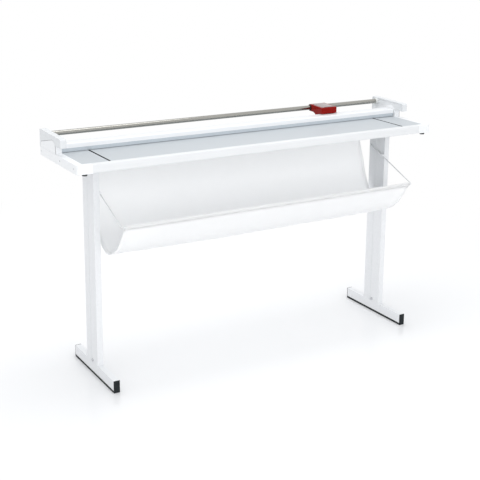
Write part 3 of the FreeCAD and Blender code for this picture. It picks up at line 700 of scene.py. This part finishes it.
def cloth_grid(shape, columns):
    """A grid of the cloth's surface with its flat size as its texture map."""
    rows = range(len(cloth_rows))
    grid = [[shape.verts.new(cloth_point(x, row)) for x in columns] for row in rows]
    layer = shape.loops.layers.uv.new("flat")
    for number in rows[:-1]:
        for column in range(len(columns) - 1):
            square = ((number, column), (number, column + 1),
                      (number + 1, column + 1), (number + 1, column))
            face = shape.faces.new([grid[row][place] for row, place in square])
            for loop, (row, place) in zip(face.loops, square):
                loop[layer].uv = (columns[place], cloth_far[row])


def spread(low, high, count):
    """Evenly spaced numbers from low to high, both of them in, with count gaps."""
    return [low + (high - low) * number / count for number in range(count + 1)]


cloth_columns = 84
hem_width = 16 * MM
hem_step = 1 * MM
hem_seam_inset = 3 * MM
# A single layer's thickness as a share of a hem's
single_share = 0.5
# How far the hems and their stitches stop short of the two sleeves
hem_short = (2 * MM, 5 * MM)
hem_stitches_short = (4 * MM, 7 * MM)
stitch_length = 3.4 * MM
stitch_gap = 1.8 * MM
stitch_width = 0.55 * MM
stitch_rise = 0.35 * MM
stitch_pitch = stitch_length + stitch_gap
# How much of a stitch slopes at each end, and what the sleeves' seams leave free of the width
stitch_slope = 0.25
seam_ends = 12 * MM


def hung_cloth():
    """The trough's one sheet, hung between its rods, twice as thick at the hems of its ends."""
    middle_half = cloth_half - hem_width - hem_step
    columns = [-cloth_half, -middle_half - hem_step,
               *spread(-middle_half, middle_half, cloth_columns),
               middle_half + hem_step, cloth_half]
    piece = add_piece("trough_cloth", mesh_from(lambda shape: cloth_grid(shape, columns)), "cloth")
    first, last = rows_between_sleeves(hem_short)
    doubled = piece.vertex_groups.new(name="hems")
    for row in range(first, last + 1):
        start = row * len(columns)
        end = start + len(columns) - 1
        doubled.add([start, start + 1, end - 1, end], 1.0, "REPLACE")
    solid = piece.modifiers.new("cloth thickness", "SOLIDIFY")
    solid.thickness = 2 * cloth_gauge
    solid.offset = 0.0
    solid.vertex_group = doubled.name
    solid.thickness_vertex_group = single_share
    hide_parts("catch_cloth")
    return piece


def row_at(far):
    """The row of the cloth's line that is nearest to a length along it."""
    return min(range(len(cloth_far)), key=lambda row: abs(cloth_far[row] - far))


def rows_between_sleeves(short):
    """The first and last rows of the trough, short of the front and rear sleeves by that much."""
    return (row_at(cloth_far[0] + front_sleeve + short[0]),
            row_at(cloth_far[-1] - rear_sleeve - short[1]))


def stitch(shape, start, end, normal):
    """One stitch, a thin bar with sloping ends that stands on the cloth."""
    run = (end - start).normalized()
    side = run.cross(normal).normalized() * (stitch_width / 2)
    top = normal * stitch_rise
    inset = run * (stitch_slope * stitch_length)
    low = [shape.verts.new(point) for point in
           (start - side, end - side, end + side, start + side)]
    high = [shape.verts.new(point + top) for point in
            (start + inset - side, end - inset - side, end - inset + side, start + inset + side)]
    shape.faces.new(high)
    wall(shape, low, high)


def seam_along_width(shape, row, side):
    """A row of stitches across the whole cloth, on one of its faces."""
    count = int((2 * cloth_half - seam_ends) / stitch_pitch)
    start = -count * stitch_pitch / 2
    normal = Vector((0, *cloth_normals[row])) * side
    lift = cloth_gauge / 2 * side
    for number in range(count):
        x = start + number * stitch_pitch
        stitch(shape, cloth_point(x, row, lift), cloth_point(x + stitch_length, row, lift), normal)


def seam_down_side(shape, x, side):
    """A row of stitches down the cloth's hem, as the cloth's line goes."""
    first, last = rows_between_sleeves(hem_stitches_short)
    lift = cloth_gauge * side
    far = cloth_far[first]
    while far + stitch_length < cloth_far[last]:
        start = between_rows(x, far, lift)
        end = between_rows(x, far + stitch_length, lift)
        row = row_at(far)
        stitch(shape, start, end, Vector((0, *cloth_normals[row])) * side)
        far += stitch_pitch


def between_rows(x, far, lift):
    """A point of the cloth at a length along its line that falls between two rows."""
    row = next(number for number in range(1, len(cloth_far)) if cloth_far[number] >= far)
    part = (far - cloth_far[row - 1]) / (cloth_far[row] - cloth_far[row - 1])
    return cloth_point(x, row - 1, lift).lerp(cloth_point(x, row, lift), part)


def cloth_stitches():
    """The thread that closes both sleeves and both side hems."""
    front_seam = row_at(cloth_far[0] + front_sleeve)
    rear_seam = row_at(cloth_far[-1] - rear_sleeve)

    def build(shape):
        seam_along_width(shape, front_seam, -1)
        seam_along_width(shape, rear_seam, -1)
        seam_x = cloth_half - hem_width + hem_seam_inset
        for x in (-seam_x, seam_x):
            for side in (-1, 1):
                seam_down_side(shape, x, side)

    return add_piece("trough_stitches", mesh_from(build), "cloth", smooth=False)


# Bent wire arms

wire_radius = 2.25 * MM
bend_radius = 4.5 * MM
arm_gap = 2.5 * MM
bend_steps = 8
tube_resolution = 5


def rounded_path(corners, radius):
    """A line through the corners, with each inner one as a bend of about the radius."""
    path = [corners[0]]
    for before, corner, after in zip(corners, corners[1:], corners[2:]):
        back = (before - corner).normalized()
        ahead = (after - corner).normalized()
        half = back.angle(ahead) / 2
        reach = radius / math.tan(half)
        start = corner + back * reach
        end = corner + ahead * reach
        for step in range(bend_steps + 1):
            t = step / bend_steps
            path.append(start.lerp(corner, t).lerp(corner.lerp(end, t), t))
    path.append(corners[-1])
    return path


def tube(name, path, radius, slot, body=ROOT):
    """A round bar along a path, as a mesh."""
    curve = bpy.data.curves.new(name, "CURVE")
    curve.dimensions = "3D"
    curve.bevel_depth = radius
    curve.bevel_resolution = tube_resolution
    curve.use_fill_caps = True
    line = curve.splines.new("POLY")
    line.points.add(len(path) - 1)
    for point, place in zip(line.points, path):
        point.co = (*place, 1)
    holder = bpy.data.objects.new(name, curve)
    mesh = bpy.data.meshes.new_from_object(holder)
    bpy.data.objects.remove(holder)
    bpy.data.curves.remove(curve)
    return add_piece(name, mesh, slot, body)


def wire_arms():
    """The arms that hold the front rod out, bent where the solids have mitred corners."""
    for name, side in (("left", -1), ("right", 1)):
        low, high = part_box(name + "_wire_arm")
        rod_y, rod_z, _ = rod_middle("front_rod")
        inner_x = min(abs(low.x), abs(high.x))
        outer_x = max(abs(low.x), abs(high.x))
        rear_y = high.y - wire_radius
        rear_z = high.z - wire_radius
        inner_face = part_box(name + "_column")[0 if side > 0 else 1].x
        arm_x = inner_face - side * (arm_gap + wire_radius)
        corners = [Vector((side * inner_x, rod_y, rod_z)), Vector((arm_x, rod_y, rod_z)),
                   Vector((arm_x, rear_y, rear_z)), Vector((side * outer_x, rear_y, rear_z))]
        piece = tube(name + "_bent_arm", rounded_path(corners, bend_radius), wire_radius,
                     "white_wire")
        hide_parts(name + "_wire_arm")


# Thin trim, and black lines painted as the shade in the rail blocks' joints

lid_corner = 8.2 * MM
lid_rim_gap = 0.3 * MM
lid_rim_radius = 0.7 * MM
# The head's top: its height at the front, and its slope up to the back
head_front_height = 963 * MM
head_top_rise = 0.0265
corner_steps = 8


def lid_rim():
    """A thin rounded lip round the lid's pocket, on the head's gently rising top."""
    low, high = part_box("head_lid")
    front_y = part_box("head_body")[0].y
    reach = lid_corner + lid_rim_gap
    middles = [(high.x - lid_corner, high.y - lid_corner),
               (low.x + lid_corner, high.y - lid_corner),
               (low.x + lid_corner, low.y + lid_corner),
               (high.x - lid_corner, low.y + lid_corner)]
    path = []
    for number, (x, y) in enumerate(middles):
        for step in range(corner_steps + 1):
            angle = math.pi / 2 * (number + step / corner_steps)
            rim_y = y + reach * math.sin(angle)
            rim_z = head_front_height + (rim_y - front_y) * head_top_rise
            path.append(Vector((x + reach * math.cos(angle), rim_y, rim_z)))
    path.append(path[0])
    tube("lid_rim", path, lid_rim_radius, "red_plastic", "head")


# A black strip along each block's joint stands in for the shade in that gap: painted shade
seam_shade_width = 0.9 * MM
seam_shade_depth = 0.5 * MM
seam_shade_rise = 0.08 * MM
block_corner = 33 * MM
block_rear_top = 921 * MM


def block_seam_shade_lines():
    """A thin black line round each rail block on the outer face of its bracket, painted as the
    shade in the joint there.
    """
    low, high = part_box("right_rail_block")
    line = [(low.y, low.z)]
    for step in range(corner_steps + 1):
        angle = math.pi * (1 - step / (2 * corner_steps))
        line.append((low.y + block_corner * (1 + math.cos(angle)),
                     high.z - block_corner * (1 - math.sin(angle))))
    line.append((high.y, block_rear_top))

    def build(shape):
        for side in (-1, 1):
            rows = []
            for (y, z), normal in zip(line, line_normals(line)):
                across = normal * (seam_shade_width / 2)
                rows.append([shape.verts.new((side * x, y + way * across.x, z + way * across.y))
                             for x, way in ((high.x - seam_shade_depth, -1), (high.x + seam_shade_rise, -1),
                                            (high.x + seam_shade_rise, 1), (high.x - seam_shade_depth, 1))])
            for lower, upper in zip(rows, rows[1:]):
                wall(shape, lower, upper)
            shape.faces.new(rows[0])
            shape.faces.new(rows[-1])

    return add_piece("block_seam_shade_lines", mesh_from(build), "black_rubber", smooth=False)


# Solids with a darker copy of their slot's finish: the front lip is white, and its grey here is
# painted shade
own_finish = {"front_profile": "lip_painted_shade"}


def dress_nodes():
    """Gives each solid the finish of its slot, or its own where it has one."""
    for row in frame["record"]["subparts"]:
        node = nodes[row["node"]]
        node.data.materials.clear()
        finish = own_finish.get(row["node"], row["material_slot"])
        node.data.materials.append(finishes[finish])


make_camera()
stage_world()
stage_floor()
stage_lamps()
finishes = make_materials()
dress_nodes()

cloth_rows = cloth_profile()
cloth_far = along_profile(cloth_rows)
cloth_normals = line_normals(cloth_rows)
cloth = hung_cloth()
stitches = cloth_stitches()

wire_arms()
fasteners()
column_bolt_domes()
block_seam_shade_lines()
lid_rim()

bpy.context.scene.view_settings.view_transform = "Standard"
